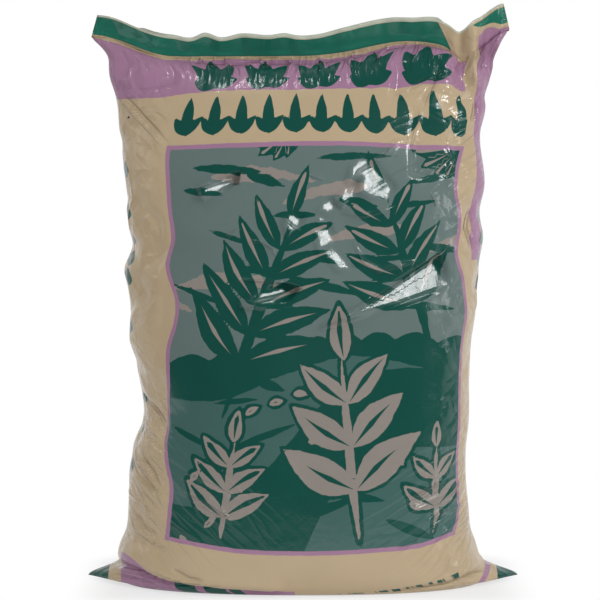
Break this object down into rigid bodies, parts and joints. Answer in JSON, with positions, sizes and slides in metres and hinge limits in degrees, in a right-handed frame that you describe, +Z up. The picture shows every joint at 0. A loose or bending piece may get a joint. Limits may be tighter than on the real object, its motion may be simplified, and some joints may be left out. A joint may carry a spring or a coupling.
{
  "type": "compost bag",
  "caption": "Filled compost bag of printed plastic film, sealed across both ends, standing on its folded bottom end with a leaning top fin.",
  "frame": {"origin": "on the floor under the middle of the bag, on the flat that the filled bag stands on", "axes": "+Z up along the bag's height; the printed front faces -Y; +X to the right of someone who faces the front"},
  "size_m": [0.5246, 0.2098, 0.7061],
  "materials": {
    "printed_film": "gloss"
  },
  "bodies": {
    "root": {"compost_bag": "printed_film"}
  },
  "joints": []
}
